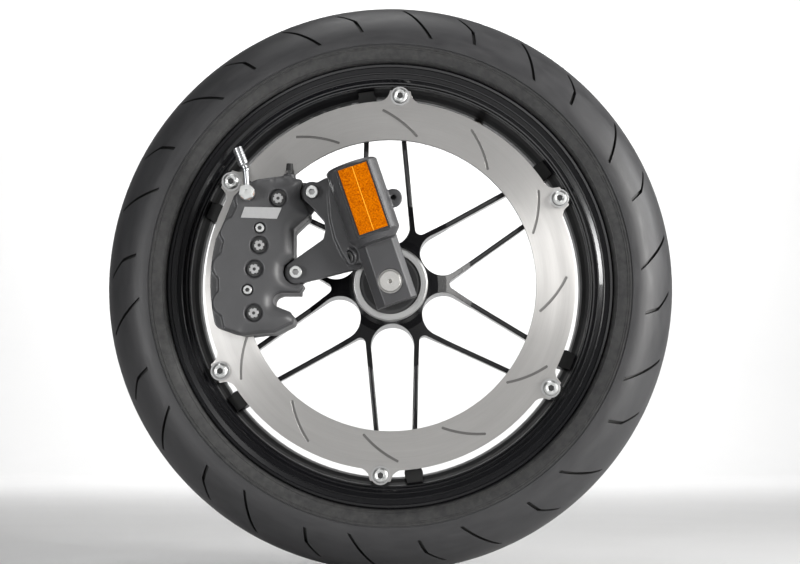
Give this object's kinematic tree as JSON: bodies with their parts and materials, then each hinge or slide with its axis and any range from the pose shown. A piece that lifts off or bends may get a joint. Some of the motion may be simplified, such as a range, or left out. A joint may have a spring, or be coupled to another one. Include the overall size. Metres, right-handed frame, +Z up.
{
  "type": "motorcycle front wheel",
  "caption": "Spoked front wheel with tyre, rim-mounted brake rotor, multi-piston caliper, through axle and fork feet with reflectors.",
  "frame": {"origin": "centre of the wheel, on the axle axis at the tyre's middle plane", "axes": "+Z up, +X the way the motorcycle faces, +Y along the axle away from the brake side"},
  "size_m": [0.599, 0.263, 0.599],
  "materials": {
    "tyre": "satin moulded rubber, dark grey",
    "wheel_rim": "gloss black paint on cast aluminium",
    "rim_bosses": "gloss black paint on cast aluminium",
    "wheel_spokes": "gloss black paint on cast aluminium",
    "wheel_hub": "gloss black paint on cast aluminium",
    "brake_rotor": "stainless, ground in fine concentric lines",
    "rotor_bobbins": "turned steel",
    "rotor_wave_washers": "spring steel",
    "rotor_bolts": "bright zinc plate",
    "bearing_outer_near": "ground bearing steel",
    "bearing_outer_far": "ground bearing steel",
    "bearing_inner_near": "ground bearing steel",
    "bearing_inner_far": "ground bearing steel",
    "bearing_balls_near": "polished balls in a steel cage",
    "bearing_balls_far": "polished balls in a steel cage",
    "dust_seal_near": "moulded nitrile, dark",
    "dust_seal_far": "moulded nitrile, dark",
    "valve_stem": "bare brass",
    "valve_nut": "plated steel",
    "valve_cap": "black cap",
    "balance_weights": "zinc stick-on weights",
    "axle": "turned steel, face cut",
    "axle_spacer_near": "dark anodised",
    "axle_spacer_far": "dark anodised",
    "bearing_spacer": "plain tube",
    "fork_foot_near": "satin dark grey on cast aluminium",
    "fork_foot_far": "satin dark grey on cast aluminium",
    "foot_bolt_near": "dark socket screw",
    "pinch_bolts_far": "zinc plate",
    "reflector_bases": "black backing",
    "reflector_lenses": "amber prismatic plastic",
    "caliper_outer": "satin dark grey, fine cast grain",
    "caliper_inner": "satin dark grey, fine cast grain",
    "bridge_bolts": "black oxide",
    "pad_pins": "bright zinc plate",
    "piston_seals": "square-section rings",
    "pistons_outer": "plated pistons",
    "pistons_inner": "plated pistons",
    "pad_backing_outer": "black steel plate",
    "pad_backing_inner": "black steel plate",
    "pad_lining_outer": "sintered friction lining",
    "pad_lining_inner": "sintered friction lining",
    "mount_bolts": "bright zinc plate",
    "banjo_bolt": "bright zinc plate",
    "crush_washers": "copper",
    "banjo_fitting": "stainless",
    "bleed_screw": "zinc plate",
    "bleed_cap": "black cap",
    "badge_plate": "blank satin plate"
  },
  "bodies": {
    "fork_end": {"bearing_inner_near": "bearing_inner_near", "bearing_inner_far": "bearing_inner_far", "axle": "axle", "axle_spacer_near": "axle_spacer_near", "axle_spacer_far": "axle_spacer_far", "bearing_spacer": "bearing_spacer", "fork_foot_near": "fork_foot_near", "fork_foot_far": "fork_foot_far", "foot_bolt_near": "foot_bolt_near", "pinch_bolts_far": "pinch_bolts_far", "reflector_bases": "reflector_bases", "reflector_lenses": "reflector_lenses", "caliper_outer": "caliper_outer", "caliper_inner": "caliper_inner", "bridge_bolts": "bridge_bolts", "pad_pins": "pad_pins", "piston_seals": "piston_seals", "mount_bolts": "mount_bolts", "banjo_bolt": "banjo_bolt", "crush_washers": "crush_washers", "banjo_fitting": "banjo_fitting", "bleed_screw": "bleed_screw", "bleed_cap": "bleed_cap", "badge_plate": "badge_plate"},
    "wheel": {"tyre": "tyre", "wheel_rim": "wheel_rim", "rim_bosses": "rim_bosses", "wheel_spokes": "wheel_spokes", "wheel_hub": "wheel_hub", "brake_rotor": "brake_rotor", "rotor_bobbins": "rotor_bobbins", "rotor_wave_washers": "rotor_wave_washers", "rotor_bolts": "rotor_bolts", "bearing_outer_near": "bearing_outer_near", "bearing_outer_far": "bearing_outer_far", "dust_seal_near": "dust_seal_near", "dust_seal_far": "dust_seal_far", "valve_stem": "valve_stem", "valve_nut": "valve_nut", "valve_cap": "valve_cap", "balance_weights": "balance_weights"},
    "ball_train_near": {"bearing_balls_near": "bearing_balls_near"},
    "ball_train_far": {"bearing_balls_far": "bearing_balls_far"},
    "outer_pad": {"pad_backing_outer": "pad_backing_outer", "pad_lining_outer": "pad_lining_outer"},
    "inner_pad": {"pad_backing_inner": "pad_backing_inner", "pad_lining_inner": "pad_lining_inner"},
    "outer_pistons": {"pistons_outer": "pistons_outer"},
    "inner_pistons": {"pistons_inner": "pistons_inner"}
  },
  "joints": [
    {"name": "wheel_spin", "type": "hinge", "parent": "fork_end", "child": "wheel", "pos_m": [0, 0, 0], "axis": [0, 1, 0], "continuous": true},
    {"name": "ball_spin_near", "type": "hinge", "parent": "fork_end", "child": "ball_train_near", "pos_m": [0, 0, 0], "axis": [0, 1, 0], "continuous": true},
    {"name": "ball_spin_far", "type": "hinge", "parent": "fork_end", "child": "ball_train_far", "pos_m": [0, 0, 0], "axis": [0, 1, 0], "continuous": true},
    {"name": "outer_pad_slide", "type": "slide", "parent": "fork_end", "child": "outer_pad", "axis": [0, 1, 0], "range_m": [-0.002, 0.0002]},
    {"name": "inner_pad_slide", "type": "slide", "parent": "fork_end", "child": "inner_pad", "axis": [0, -1, 0], "range_m": [-0.002, 0.0002]},
    {"name": "outer_piston_slide", "type": "slide", "parent": "fork_end", "child": "outer_pistons", "axis": [0, 1, 0], "range_m": [-0.002, 0.0002]},
    {"name": "inner_piston_slide", "type": "slide", "parent": "fork_end", "child": "inner_pistons", "axis": [0, -1, 0], "range_m": [-0.002, 0.0002]}
  ],
  "couplings": [
    {"joint": "ball_spin_near", "follows": "wheel_spin", "ratio": 0.6005},
    {"joint": "ball_spin_far", "follows": "wheel_spin", "ratio": 0.6005},
    {"joint": "inner_pad_slide", "follows": "outer_pad_slide", "ratio": 1},
    {"joint": "outer_piston_slide", "follows": "outer_pad_slide", "ratio": 1},
    {"joint": "inner_piston_slide", "follows": "outer_pad_slide", "ratio": 1}
  ]
}
